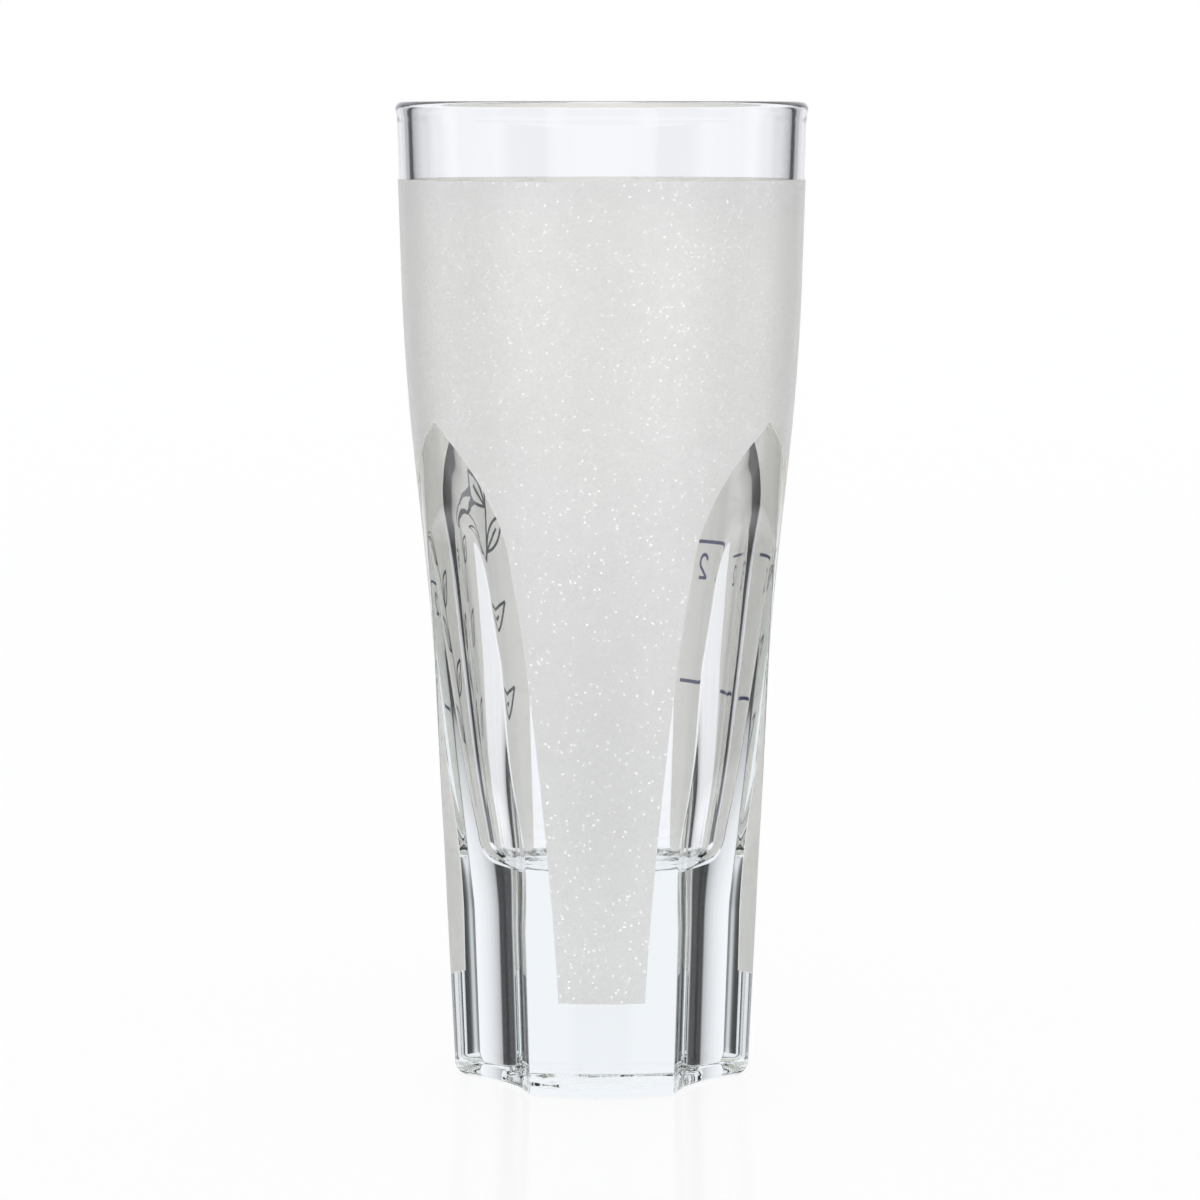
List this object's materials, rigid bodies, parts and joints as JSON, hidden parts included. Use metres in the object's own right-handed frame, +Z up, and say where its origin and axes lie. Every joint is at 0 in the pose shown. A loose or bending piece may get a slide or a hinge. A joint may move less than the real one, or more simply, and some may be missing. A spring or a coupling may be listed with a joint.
{
  "type": "liqueur glass",
  "caption": "Tall pressed liqueur glass with a flared bowl, thick solid foot, pointed flutes, a satin frosted coat and printed fill lines.",
  "frame": {"origin": "centre of the glass on the surface it stands on", "axes": "+Z up along the glass's axis, -Y towards the front land, +X to the right of someone facing the front"},
  "size_m": [0.0468, 0.0468, 0.1114],
  "materials": {
    "clear_glass": "polished clear",
    "frost": "satin frosted",
    "ink": "fired ink"
  },
  "bodies": {
    "root": {"glass_body": "clear_glass", "frosted_coating": "frost", "fill_line_upper": "ink", "fill_line_lower": "ink"}
  },
  "joints": []
}
